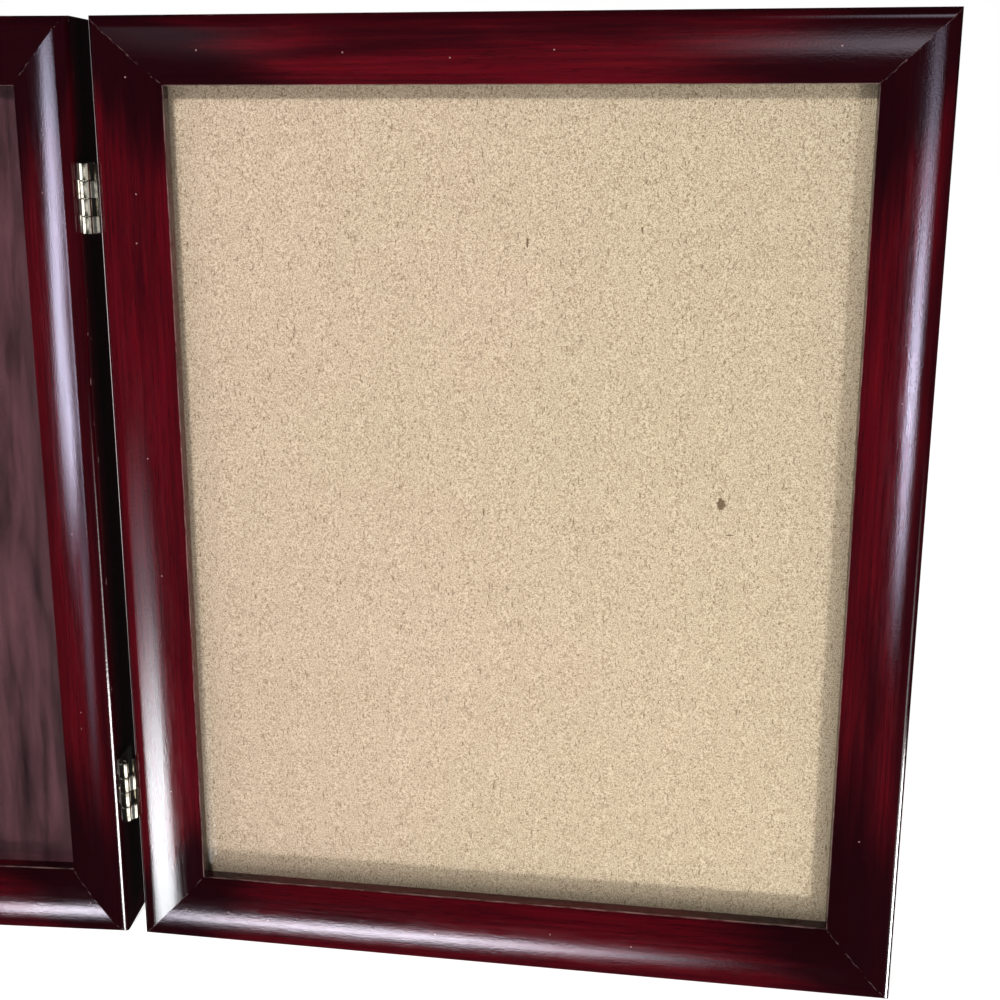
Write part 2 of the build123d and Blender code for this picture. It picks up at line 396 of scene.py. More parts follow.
def picture_glass():
    """Clear picture glass that lets light through and mirrors a little."""
    tree = NodeTree(bpy.data.materials.new("picture_glass"))
    clear = tree.node("BsdfTransparent", {"Color": (0.985, 0.992, 0.988, 1.0)})
    gloss = tree.node("BsdfGlossy", {"Color": (1.0, 1.0, 1.0, 1.0), "Roughness": 0.02})
    slant = tree.node("LayerWeight", {"Blend": 0.5}).outputs["Facing"]
    mirror = tree.span(tree.math("POWER", slant, 5.0), HEAD_ON_MIRROR, 1.0)
    return tree.finish(tree.mix(mirror, clear, gloss))


# Brown marks on the board: place from the wing's foot and size in millimetres, turn in degrees
BoardMark = namedtuple("BoardMark", "u v width height turn")
BOARD_MARKS = (
    BoardMark(174.3, 145.6, 2.6, 3.4, 20),
    BoardMark(118.8, 218.2, 0.7, 3.2, -25),
    BoardMark(150.2, 222.2, 0.6, 1.8, 40),
    BoardMark(106.6, 140.2, 0.5, 2.2, 10),
    BoardMark(176.9, 136.5, 2.8, 0.5, -4),
)

# Fibres in the board: the way they lie in degrees, how short they are, and how rare
BOARD_FIBRES = ((15, 300, 0.69), (75, 300, 0.69), (130, 300, 0.69), (40, 1200, 0.63))
FIBRE_THINNESS = 1500


def board_mark(tree, place, mark, ragged):
    """The mask of one brown mark on the board, with a ragged edge."""
    centre = wing_place @ Vector((mark.u * MM, board_low.y, mark.v * MM))
    turned = tree.node("Mapping", {
        "Vector": tree.vector("SUBTRACT", place, centre),
        "Rotation": (0, radians(mark.turn), 0),
        "Scale": (2 / (mark.width * MM), 0.0, 2 / (mark.height * MM)),
    })
    reach = tree.add(tree.length(turned.outputs["Vector"]), tree.span(ragged, -0.6, 0.6))
    return tree.rise(reach, 1.05, 0.8)


def board_strokes(tree, place, turn, shortness, rarity):
    """The mask of the fibres that lie one way."""
    scales = (FIBRE_THINNESS, 1, shortness)
    lying = tree.node("Mapping", {"Vector": place, "Rotation": (0, radians(turn), 0), "Scale": scales})
    spots = tree.noise(lying.outputs["Vector"], 1.0, 1.0, 0.4)
    return tree.rise(spots, rarity, rarity + 0.05)


def fibreboard(colours):
    """Raw tan fibreboard: clouded, speckled, with short dark fibres lying every way."""
    tree = NodeTree(bpy.data.materials.new("fibreboard"))
    place = tree.place()
    clouds = tree.noise(place, 55.0, 4.0, 0.6)
    grit = tree.noise(place, 1050.0, 3.0, 0.65)
    fine = tree.noise(place, 2800.0, 2.0, 0.7)
    speckle = tree.add(tree.span(grit, -0.9, 1.1), tree.span(fine, -6.0, 6.2))
    pale = tree.rise(tree.add(tree.span(clouds, 0.1, 0.5), speckle), 0.10, 0.90)
    base = tree.blend(pale, opaque(colours.board_brown), opaque(colours.board_pale))

    # The tan turns a little greener across the wing
    wander = tree.span(tree.noise(place, 16.0, 3.0), -140 * MM, 140 * MM)
    drift = tree.rise(tree.add(tree.parts(place)["X"], wander), 20 * MM, 190 * MM)
    base = tree.blend(drift, base, tree.vector("MULTIPLY", base, (0.965, 1.0, 0.965)))

    strokes = [board_strokes(tree, place, *fibres) for fibres in BOARD_FIBRES]
    base = tree.paint(base, tree.any_of(*strokes), 0.62, colours.board_fleck)
    for mark in BOARD_MARKS:
        base = tree.paint(base, board_mark(tree, place, mark, grit), 0.85, colours.board_fleck)
    height = tree.add(tree.span(grit, 0.0, 0.6), tree.span(fine, 0.0, 0.4))
    normal = tree.bump(height, 0.12 * MM, 0.6)
    roughness = tree.span(grit, 0.7, 0.9)
    return tree.surface(Base_Color=base, Roughness=roughness, Normal=normal, IOR=1.4)


def dark_card(colours):
    """Plain dark card, rubbed in soft upright streaks."""
    tree = NodeTree(bpy.data.materials.new("dark_card"))
    place = tree.place()
    smears = tree.stretched(place, (170, 170, 22), 4.0, 0.6)
    tooth = tree.noise(place, 1800.0, 2.0)
    shade = tree.add(tree.span(smears, -0.9, 3.6), tree.span(tooth, -0.08, 0.08))
    inputs = {"Vector": tuple(colours.card), "Scale": shade}
    base = tree.node("VectorMath", inputs, operation="SCALE").outputs["Vector"]
    normal = tree.bump(tooth, 0.02 * MM, 0.4)
    return tree.surface(Base_Color=base, Roughness=0.6, Normal=normal)


DULL_SHARE = 0.5
# How dark the painted shade beside a hinge barrel is, as a share of the plating's colour
BARREL_SHADE_SHARE = 0.03


def plated(name, rgb, low, high, axis=None):
    """Plated metal with rub marks and dull spots, and painted shade beside a barrel whose axis is given."""
    tree = NodeTree(bpy.data.materials.new(name))
    place = tree.place()
    rubbed = tree.stretched(place, (5200, 5200, 700), 3.0)
    dull = tree.noise(place, 620.0, 3.0, 0.6)
    dull_rgb = [part * DULL_SHARE for part in rgb]
    base = tree.blend(tree.rise(dull, 0.46, 0.70), opaque(rgb), opaque(dull_rgb))
    dulled = tree.span(tree.rise(dull, 0.5, 0.8), 0.0, 0.12)
    roughness = tree.add(tree.span(rubbed, low, high), dulled)
    metallic = 1.0
    if axis is not None:
        # Painted shade: the metal in a ring just outside the barrel, where the plate meets the knuckles, is
        # made dark, rough and hardly metallic
        beside = tree.vector("MULTIPLY", tree.vector("SUBTRACT", place, axis), (1, 1, 0))
        reach = tree.length(beside)
        barrel_shade = tree.all_of(
            tree.rise(reach, pin_radius + 0.84 * MM, pin_radius + 0.92 * MM),
            tree.rise(reach, pin_radius + 1.80 * MM, pin_radius + 1.60 * MM),
        )
        base = tree.paint(base, barrel_shade, 0.95, [part * BARREL_SHADE_SHARE for part in rgb])
        roughness = tree.add(roughness, tree.span(barrel_shade, 0.0, 0.4))
        metallic = tree.span(barrel_shade, 1.0, 0.1)
    normal = tree.bump(rubbed, 0.012 * MM, 0.5)
    return tree.surface(Base_Color=base, Metallic=metallic, Roughness=roughness, Normal=normal)


def pale_floor(colours):
    """A plain pale floor with a faint tooth, through which the low lamps shine."""
    tree = NodeTree(bpy.data.materials.new("pale_floor"))
    tooth = tree.noise(tree.place(), 260.0, 3.0)
    solid = tree.node("BsdfPrincipled", {
        "Base Color": opaque(colours.floor),
        "Roughness": tree.span(tooth, 0.7, 0.85),
        "Emission Color": opaque(colours.floor),
        "Emission Strength": 0.95,
    })
    passing = tree.node("LightPath").outputs["Is Shadow Ray"]
    return tree.finish(tree.mix(passing, solid, tree.node("BsdfTransparent")))


def only(kind, geometry):
    """The vertices, edges or faces of what an operator made."""
    return [item for item in geometry if isinstance(item, kind)]


def line_to(bm, vert, point):
    """Draw a straight stretch of an outline and return its end."""
    end = bmesh.ops.extrude_vert_indiv(bm, verts=[vert])["verts"][0]
    end.co = point
    return end


def arc_to(bm, vert, centre, angle, steps):
    """Draw a round stretch of an outline about a centre and return its end."""
    made = bmesh.ops.spin(bm, geom=[vert], cent=centre, axis=(0, 0, 1), angle=angle, steps=steps)
    return only(BMVert, made["geom_last"])[0]


def thicken(bm, faces, offset):
    """Extrude flat faces into a solid and return the vertices at its far end."""
    made = bmesh.ops.extrude_face_region(bm, geom=faces)["geom"]
    far = only(BMVert, made)
    bmesh.ops.translate(bm, verts=far, vec=offset)
    return far


def ease(bm, edges, offset, segments):
    """Round or chamfer edges."""
    bmesh.ops.bevel(
        bm, geom=edges, offset=offset, offset_type="OFFSET", affect="EDGES",
        segments=segments, profile=0.5, material=-1, clamp_overlap=True,
    )


def cut(bm, point, normal, clear_outer=False):
    """Cut a whole shape along a plane and return the edges of the cut."""
    geometry = bm.verts[:] + bm.edges[:] + bm.faces[:]
    made = bmesh.ops.bisect_plane(
        bm, geom=geometry, plane_co=point, plane_no=normal, clear_outer=clear_outer)
    return only(BMEdge, made["geom_cut"])


def sharp_edges(bm, angle=CORNER_ANGLE):
    """The edges where two faces meet at more than an angle."""
    return [edge for edge in bm.edges if edge.is_manifold and edge.calc_face_angle() > angle]


def close_shape(bm):
    """Merge doubled vertices and turn every face outwards."""
    bmesh.ops.remove_doubles(bm, verts=bm.verts, dist=MERGE_DISTANCE)
    bmesh.ops.recalc_face_normals(bm, faces=bm.faces)


def carry(bm, place):
    """Move a finished shape to its place, with its faces still outwards where the place mirrors it."""
    bmesh.ops.transform(bm, matrix=place, verts=bm.verts)
    if place.is_negative:
        bmesh.ops.reverse_faces(bm, faces=bm.faces)


def link_object(name, data):
    """Put a mesh, a lamp or a camera into the scene."""
    made = bpy.data.objects.new(name, data)
    bpy.context.scene.collection.objects.link(made)
    return made


def mesh_object(bm, name, material):
    """Turn a finished shape into an object with its finish."""
    mesh = bpy.data.meshes.new(name)
    bm.to_mesh(mesh)
    bm.free()
    mesh.materials.append(material)
    return link_object(name, mesh)


def settle(bm, name, side, place, material, replaced, body=None, sharp=SHARP_ANGLE):
    """Put a shape in its place on a side, as a piece that rides on a body and stands for a CAD node."""
    close_shape(bm)
    carry(bm, SIDE_TURNS[side] @ place)
    for face in bm.faces:
        face.smooth = True
    piece = mesh_object(bm, name, material)
    piece.data.set_sharp_from_angle(angle=sharp)
    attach(piece, body or f"{side}_wing")
    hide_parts(replaced)


def coat_node(node, material):
    """Give a CAD node its finish."""
    slots = frame["nodes"][node].data.materials
    slots.clear()
    slots.append(material)


def moulding_section(bm, sizes):
    """Draw the section of the moulding: X inward from its outer side, Y to the back."""
    radius = sizes.shoulder_radius
    land = moulding_width - sizes.lip_overlap
    sight = Vector((moulding_width, sizes.face_drop, 0))
    start = bm.verts.new((0, radius, 0))
    shoulder = arc_to(bm, start, (radius, radius, 0), pi / 2 + sizes.shoulder_turn, sizes.shoulder_steps)
    chord = sight - shoulder.co
    inward = Vector((-sin(sizes.shoulder_turn), cos(sizes.shoulder_turn), 0))
    crown_radius = chord.length_squared / (2 * chord.dot(inward))
    crown_turn = 2 * asin(chord.length / 2 / crown_radius)
    last = arc_to(bm, shoulder, shoulder.co + inward * crown_radius, crown_turn, sizes.crown_steps)
    for point in (
        (moulding_width, glass_front, 0),
        (land, glass_front, 0),
        (land, moulding_depth, 0),
        (0, moulding_depth, 0),
    ):
        last = line_to(bm, last, point)
    bm.edges.new((last, start))
    return bmesh.ops.contextual_create(bm, geom=bm.edges[:])["faces"]


ON_LINE = 0.01 * MM
ON_MITRE = 0.001 * MM
MITRE_ANGLE = radians(20)
FACE_MARGIN = 0.2 * MM


def runs_at(edge, x, y):
    """Whether an edge runs along the rail at a point of its section."""
    return all(abs(vert.co.x - x) < ON_LINE and abs(vert.co.y - y) < ON_LINE for vert in edge.verts)


def is_mitre_edge(edge, sizes, length):
    """Whether an edge lies on the visible front or outer side of a mitred end."""
    seen = all(vert.co.y < sizes.face_drop + FACE_MARGIN or vert.co.x < ON_LINE for vert in edge.verts)
    first = all(abs(vert.co.z - vert.co.x) < ON_MITRE for vert in edge.verts)
    second = all(abs(length - vert.co.z - vert.co.x) < ON_MITRE for vert in edge.verts)
    return seen and (first or second)


def rail_shape(sizes, length):
    """One mitred rail: X inward, Y to the back, Z along it from its first corner."""
    bm = bmesh.new()
    thicken(bm, moulding_section(bm, sizes), (0, 0, length))
    close_shape(bm)
    for x, y, offset, segments in (
        (moulding_width, sizes.face_drop, sizes.sight_round, 6),
        (moulding_width, glass_front, sizes.sight_round / 2, 2),
        (0, moulding_depth, sizes.back_chamfer, 2),
        (moulding_width - sizes.lip_overlap, moulding_depth, sizes.sight_round / 2, 2),
    ):
        ease(bm, [edge for edge in bm.edges if runs_at(edge, x, y)], offset, segments)
    for corner, outward in (((0, 0, 0), (1, 0, -1)), ((0, 0, length), (1, 0, 1))):
        bmesh.ops.contextual_create(bm, geom=cut(bm, corner, outward, clear_outer=True))
    close_shape(bm)
    ends = [edge for edge in sharp_edges(bm, MITRE_ANGLE) if is_mitre_edge(edge, sizes, length)]
    ease(bm, ends, sizes.mitre_ease, 2)
    return bm


GRAIN_OFFSET = 0.7

# How strong a rail's painted shade on the shoulder and its dark patches are, and how far it is darkened from
# both ends in millimetres
Stain = namedtuple("Stain", "shoulder first_end second_end")
PLAIN_DARKENING = Stain(0.45, 34, 34)
RAIL_DARKENING = {
    "right_hinge_stile": Stain(0.1, 30, 34),
    "right_top_rail": Stain(0.7, 48, 66),
    "right_outer_stile": Stain(0.75, 48, 88),
    "right_bottom_rail": Stain(0.2, 44, 34),
    "left_hinge_stile": Stain(0.7, 70, 40),
}


def mark_rail(bm, length, offset, stain):
    """Keep each point's place in its rail, for grain, wear, stain and painted shade; the offset sets rails
    apart.
    """
    place_layer = bm.verts.layers.float_vector.new("rail_place")
    ends_layer = bm.verts.layers.float_vector.new("rail_ends")
    tone_layer = bm.verts.layers.float_vector.new("rail_tone")
    for vert in bm.verts:
        across, depth, along = vert.co
        vert[place_layer] = (across, depth, along + offset)
        vert[ends_layer] = (along - across, length - along - across, 0)
        vert[tone_layer] = (stain.shoulder, stain.first_end * MM, stain.second_end * MM)


def rail_places():
    """Each rail's name, place in the right wing and length, going round the frame."""
    corners = ((0, 0), (0, wing_height), (wing_width, wing_height), (wing_width, 0))
    for index, (name, (u, v)) in enumerate(zip(RAIL_NAMES, corners)):
        turn = Matrix.Rotation(index * pi / 2, 4, "Y")
        length = wing_height if name in STILE_NAMES else wing_width
        yield name, wing_place @ Matrix.Translation((u, 0, v)) @ turn, length


class PHOTOFRAME_OT_rails(Operator):
    """Build the eight mitred rails of the two wings"""

    bl_idname = "photo_frame.rails"
    bl_label = "Rails"

    def execute(self, context):
        sizes = context.scene.moulding_sizes
        material = cherry_lacquer(context.scene.finish_colours)
        offset = 0.0
        for side in SIDES:
            for rail, place, length in rail_places():
                node = f"{side}_{rail}"
                bm = rail_shape(sizes, length)
                mark_rail(bm, length, offset, RAIL_DARKENING.get(node, PLAIN_DARKENING))
                name = f"{node}_moulding"
                settle(bm, name, side, place, material, node, sharp=RAIL_SHARP_ANGLE)
                offset += GRAIN_OFFSET
        return {"FINISHED"}


BOARD_EASE = 0.25 * MM


def board_shape():
    """A backing board with eased edges."""
    bm = bmesh.new()
    stretch = Matrix.Diagonal((*(board_high - board_low), 1))
    middle = Matrix.Translation((board_low + board_high) / 2)
    bmesh.ops.create_cube(bm, size=1.0, matrix=middle @ stretch)
    ease(bm, bm.edges[:], BOARD_EASE, 2)
    return bm


class PHOTOFRAME_OT_glazing(Operator):
    """Finish the glass, the dark sheet and the backing boards"""

    bl_idname = "photo_frame.glazing"
    bl_label = "Glazing"

    def execute(self, context):
        colours = context.scene.finish_colours
        board = fibreboard(colours)
        glass = picture_glass()
        for side in SIDES:
            node = f"{side}_backing_board"
            settle(board_shape(), f"{side}_board", side, wing_place, board, node)
            coat_node(f"{side}_glass", glass)
        coat_node("left_insert_sheet", dark_card(colours))
        return {"FINISHED"}


RING = 36

# A screw's cross recess, in shares of the radius of its head's flat disc, and the taper to its floor
CROSS_REACH = 0.62
CROSS_WIDTH = 0.34
CROSS_DEPTH = 0.42
CROSS_TAPER = 0.75

SCREW_TIP_LENGTH = 2 * MM
SCREW_TIP_RADIUS = 0.15 * MM


def cut_cross(bm, radius):
    """Press a cross recess into the flat disc of a screw head that looks along Z."""
    reach = radius * CROSS_REACH
    half = radius * CROSS_WIDTH / 2
    for axis in (Vector((1, 0, 0)), Vector((0, 1, 0))):
        for place in (-reach, -half, half, reach):
            cut(bm, axis * place, axis)
    recess = []
    for face in bm.faces:
        x, y, _ = (abs(part) for part in face.calc_center_median())
        if min(x, y) < half and max(x, y) < reach:
            recess.append(face)
    floor = thicken(bm, recess, (0, 0, -radius * CROSS_DEPTH))
    bmesh.ops.scale(bm, verts=floor, vec=(CROSS_TAPER, CROSS_TAPER, 1))


def screw_shape(head, shank, length):
    """A screw turned from its head's rings of (radius, height) down to its tip, with a cross recess."""
    bm = bmesh.new()
    (radius, height), *below = head
    below += [(shank, SCREW_TIP_LENGTH - length), (SCREW_TIP_RADIUS, -length)]
    lift = Matrix.Translation((0, 0, height))
    bmesh.ops.create_circle(bm, cap_ends=True, segments=RING, radius=radius, matrix=lift)
    cut_cross(bm, radius)
    rim = [edge for edge in bm.edges if edge.is_boundary]
    for next_radius, next_height in below:
        made = bmesh.ops.extrude_edge_only(bm, edges=rim)["geom"]
        ring = only(BMVert, made)
        bmesh.ops.scale(bm, verts=ring, vec=(next_radius / radius, next_radius / radius, 1))
        bmesh.ops.translate(bm, verts=ring, vec=(0, 0, next_height - height))
        radius, height = next_radius, next_height
        rim = [edge for edge in only(BMEdge, made) if edge.is_boundary]
    bmesh.ops.contextual_create(bm, geom=rim)
    return bm


def add_shape(bm, shape, place):
    """Add a finished shape to a larger one."""
    carry(shape, place)
    mesh = bpy.data.meshes.new("shape")
    shape.to_mesh(mesh)
    shape.free()
    bm.from_mesh(mesh)
    bpy.data.meshes.remove(mesh)


CORNER_STEPS = 6
COUNTERSINK_SHARE = 1.05
HOLE_MARGIN_SHARE = 1.2
LEAF_EASE = 0.12 * MM
KNUCKLE_EASE = 0.16 * MM
PIN_EASE = 0.3 * MM
STRIP_ROOT = 0.3 * MM
ROLL_TURN = radians(-292)
ROLL_STEPS = 40
ROLL_CORNER_ANGLE = radians(60)


def leaf_face(sizes):
    """How far from the axis a leaf's open face lies."""
    return leaf_high.x - sizes.leaf_thickness


def knuckle_height(sizes):
    """The height of one knuckle."""
    return (hinge_height - (sizes.knuckle_count - 1) * sizes.knuckle_gap) / sizes.knuckle_count


def leaf_screw_places(sizes):
    """The middles of a leaf's screw heads, on its open face."""
    middle = (sizes.leaf_front + leaf_high.y) / 2
    for z in (sizes.screw_margin, hinge_height - sizes.screw_margin):
        yield Vector((leaf_face(sizes), middle, z))


def near_hole(edge, sizes):
    """Whether an edge of the flat plate belongs to a screw hole."""
    middle = (edge.verts[0].co + edge.verts[1].co) / 2
    reach = sizes.screw_head_radius * HOLE_MARGIN_SHARE
    return any(
        abs(middle.x - spot.y) < reach and abs(middle.y - spot.z) < reach
        for spot in leaf_screw_places(sizes))


def leaf_plate(sizes):
    """The plate of a hinge leaf, with round rear corners and countersunk holes."""
    bm = bmesh.new()
    radius = sizes.corner_radius
    last = first = bm.verts.new((sizes.leaf_front, 0, 0))
    last = line_to(bm, last, (leaf_high.y - radius, 0, 0))
    last = arc_to(bm, last, (leaf_high.y - radius, radius, 0), pi / 2, CORNER_STEPS)
    last = line_to(bm, last, (leaf_high.y, hinge_height - radius, 0))
    last = arc_to(bm, last, (leaf_high.y - radius, hinge_height - radius, 0), pi / 2, CORNER_STEPS)
    last = line_to(bm, last, (sizes.leaf_front, hinge_height, 0))
    bm.edges.new((last, first))
    for spot in leaf_screw_places(sizes):
        matrix = Matrix.Translation((spot.y, spot.z, 0))
        bmesh.ops.create_circle(
            bm, segments=RING, radius=sizes.screw_head_radius * COUNTERSINK_SHARE, matrix=matrix)
    made = bmesh.ops.triangle_fill(bm, edges=bm.edges[:], use_beauty=True)["geom"]
    far = thicken(bm, only(BMFace, made), (0, 0, sizes.leaf_thickness))
    ratio = sizes.screw_radius / sizes.screw_head_radius
    for spot in leaf_screw_places(sizes):
        centre = Vector((spot.y, spot.z, sizes.leaf_thickness))
        reach = sizes.screw_head_radius * HOLE_MARGIN_SHARE
        ring = [vert for vert in far if (vert.co - centre).length < reach]
        bmesh.ops.scale(bm, verts=ring, vec=(ratio, ratio, 1), space=Matrix.Translation(-centre))
    close_shape(bm)
    ease(bm, [edge for edge in sharp_edges(bm) if not near_hole(edge, sizes)], LEAF_EASE, 2)

    # The plate was drawn flat: its width goes to the back, its height up and its thickness to the stile
    stand = Matrix(((0, 0, 1, leaf_face(sizes)), (1, 0, 0, 0), (0, 1, 0, 0), (0, 0, 0, 1)))
    bmesh.ops.transform(bm, matrix=stand, verts=bm.verts)
    return bm


def rolled_knuckle(sizes, foot):
    """A strip that leaves the plate and rolls round the pin until it nearly meets itself."""
    bm = bmesh.new()
    inner = bm.verts.new((knuckle_radius - sizes.knuckle_wall, 0, foot))
    outer = bm.verts.new((knuckle_radius, 0, foot))
    start = bm.edges.new((inner, outer))
    root = sizes.leaf_front + STRIP_ROOT
    edge = start
    for inner_y, outer_y in ((sizes.leaf_front, sizes.leaf_ramp), (root, root)):
        made = bmesh.ops.extrude_edge_only(bm, edges=[edge])["geom"]
        near, far = sorted(only(BMVert, made), key=lambda vert: vert.co.x)
        near.co = (leaf_face(sizes), inner_y, foot)
        far.co = (leaf_high.x, outer_y, foot)
        edge = bm.edges.get((near, far))
    bmesh.ops.spin(
        bm, geom=[inner, outer, start], cent=(0, 0, foot), axis=(0, 0, 1), angle=ROLL_TURN, steps=ROLL_STEPS)
    bmesh.ops.remove_doubles(bm, verts=bm.verts, dist=MERGE_DISTANCE)
    thicken(bm, bm.faces[:], (0, 0, knuckle_height(sizes)))
    close_shape(bm)
    ease(bm, sharp_edges(bm, ROLL_CORNER_ANGLE), KNUCKLE_EASE, 3)
    return bm


def leaf_shape(sizes, first_knuckle):
    """A hinge leaf: its plate and every other knuckle."""
    bm = leaf_plate(sizes)
    pitch = knuckle_height(sizes) + sizes.knuckle_gap
    for step in range(first_knuckle, sizes.knuckle_count, 2):
        add_shape(bm, rolled_knuckle(sizes, step * pitch), Matrix())
    return bm


def pin_shape():
    """A hinge's pin, with rounded ends."""
    bm = bmesh.new()
    middle = Matrix.Translation((0, 0, hinge_height / 2))
    bmesh.ops.create_cone(
        bm, cap_ends=True, segments=RING, radius1=pin_radius, radius2=pin_radius,
        depth=hinge_height, matrix=middle)
    ease(bm, sharp_edges(bm), PIN_EASE, 3)
    return bm


def leaf_screws_shape(sizes):
    """The countersunk screws of one wing's leaves."""
    bm = bmesh.new()
    shank = sizes.screw_radius
    head = ((sizes.screw_head_radius, 0), (shank, shank - sizes.screw_head_radius))
    inward = Matrix.Rotation(-pi / 2, 4, "Y")
    for foot in hinge_feet.values():
        for spot in leaf_screw_places(sizes):
            seat = Matrix.Translation(spot + Vector((0, 0, foot))) @ inward
            add_shape(bm, screw_shape(head, shank, sizes.screw_length), seat)
    return bm


class PHOTOFRAME_OT_hinges(Operator):
    """Build the butt hinges: two leaves with rolled knuckles, a pin and four screws each"""

    bl_idname = "photo_frame.hinges"
    bl_label = "Hinges"

    def execute(self, context):
        sizes = context.scene.hinge_sizes
        colours = context.scene.finish_colours
        nickel = plated("nickel_plate", colours.nickel, 0.10, 0.24, hinge_axis)
        for hinge, foot in hinge_feet.items():
            place = fold_place @ Matrix.Translation((0, 0, foot))
            for first_knuckle, side in enumerate(SIDES):
                node = f"{hinge}_hinge_{side}_leaf"
                bm = leaf_shape(sizes, first_knuckle)
                settle(bm, f"{node}_plate", side, place, nickel, node)
            node = f"{hinge}_hinge_pin"
            settle(pin_shape(), f"{node}_rod", "right", place, nickel, node)
        for side in SIDES:
            node = f"{side}_hinge_screws"
            bm = leaf_screws_shape(sizes)
            settle(bm, f"{node}_turned", side, fold_place, nickel, node)
        return {"FINISHED"}


BUTTON_END_STEPS = 18
BUTTON_EASE = 0.16 * MM
HEAD_STEPS = 4


def button_shape(sizes):
    """A turn button: X from its screw to its far end, Z out of the frame's back."""
    bm = bmesh.new()
    half = (button_high.z - button_low.z) / 2
    first = bm.verts.new((0, half, 0))
    last = arc_to(bm, first, (0, 0, 0), pi, BUTTON_END_STEPS)
    last = line_to(bm, last, (sizes.span, -half, 0))
    last = arc_to(bm, last, (sizes.span, 0, 0), pi, BUTTON_END_STEPS)
    bm.edges.new((last, first))
    bmesh.ops.create_circle(bm, segments=RING, radius=sizes.bore_radius)
    bmesh.ops.triangle_fill(bm, edges=bm.edges[:], use_beauty=True)
    thicken(bm, bm.faces[:], (0, 0, button_high.y - button_low.y))
    close_shape(bm)
    ease(bm, sharp_edges(bm), BUTTON_EASE, 2)
    return bm


def button_screw_shape(sizes):
    """A pan head screw, with the underside of its head at height 0."""
    rim = sizes.head_round
    rings = []
    for step in range(HEAD_STEPS + 1):
        turn = step / HEAD_STEPS * pi / 2
        rings.append((sizes.head_radius - rim + rim * sin(turn), sizes.head_height - rim + rim * cos(turn)))
    head = (*rings, (sizes.head_radius, 0), (sizes.screw_radius, 0))
    return screw_shape(head, sizes.screw_radius, sizes.screw_length)


def button_seats():
    """Each turn button's stile and the place of its screw: X inward over the board, Z out of the back."""
    for index, name in enumerate(STILE_NAMES):
        pivot = Vector(joints[f"right_{name}_button_turn"]["pos_m"])
        spot = wing_place.inverted() @ pivot
        turn = Matrix.Rotation(index * pi, 4, "Y") @ Matrix.Rotation(-pi / 2, 4, "X")
        yield name, wing_place @ Matrix.Translation((spot.x, 0, spot.z)) @ turn


class PHOTOFRAME_OT_buttons(Operator):
    """Build the turn buttons on the back and their pan head screws"""

    bl_idname = "photo_frame.buttons"
    bl_label = "Turn buttons"

    def execute(self, context):
        sizes = context.scene.button_sizes
        zinc = plated("zinc_plate", context.scene.finish_colours.zinc, 0.22, 0.40)
        under_plate = Matrix.Translation((0, 0, button_low.y))
        under_head = Matrix.Translation((0, 0, button_screw_back - sizes.head_height))
        for side in SIDES:
            screws = bmesh.new()
            for name, seat in button_seats():
                node = f"{side}_{name}_button"
                bm = button_shape(sizes)
                settle(bm, f"{node}_plate", side, seat @ under_plate, zinc, node, body=node)
                add_shape(screws, button_screw_shape(sizes), seat @ under_head)
            node = f"{side}_button_screws"
            settle(screws, f"{node}_turned", side, Matrix(), zinc, node)
        return {"FINISHED"}


class PHOTOFRAME_OT_corner_nails(Operator):
    """Finish the V nails that lock the mitres"""

    bl_idname = "photo_frame.corner_nails"
    bl_label = "Corner nails"

    def execute(self, context):
        steel = plated("bare_steel", context.scene.finish_colours.steel, 0.35, 0.5)
        for side in SIDES:
            coat_node(f"{side}_corner_nails", steel)
        return {"FINISHED"}


FLOOR_RADIUS = 6.0
FLOOR_SEGMENTS = 96

CAMERA_SEAT = Vector((159.0, -340.2, 250.3)) * MM
CAMERA_TURN = radians(7.89)
CAMERA_TILT = radians(-12.39)
CAMERA_ROLL = radians(0.09)
CAMERA_LENS = 46.13
CAMERA_SENSOR = 36.0
CAMERA_SHIFT = (0.004, -0.0948)
CAMERA_NEAR = 0.01

WORLD_SEEN = 1.0
WORLD_DIFFUSE = 0.3
WORLD_GLOSS = 0.012

WHITE = (1.0, 1.0, 1.0)
COOL = (0.93, 0.96, 1.0)
LAVENDER = (0.92, 0.86, 1.0)
VIOLET = (0.78, 0.75, 1.0)

# Words of the names of the pieces that lamps shine on
RIGHT_HINGE_STILE = ("right_hinge_stile_moulding",)
RIGHT_OUTER_STILE = ("right_outer_stile_moulding",)
RIGHT_TOP_RAIL = ("right_top_rail_moulding",)
RIGHT_BOTTOM_RAIL = ("right_bottom_rail_moulding",)
LEFT_HINGE_STILE = ("left_hinge_stile_moulding",)
LEFT_BOTTOM_RAIL = ("left_bottom_rail_moulding",)
HINGE_METAL = ("leaf", "pin", "hinge_screws")
BACK_METAL = ("button", "nails")
ALL_METAL = HINGE_METAL + BACK_METAL
EVERYTHING = None

# How much of a lamp's half width and half height fades
FADING = (1.0, 1.0)
SOFT = (0.6, 0.6)
CRISP = (0.2, 0.2)

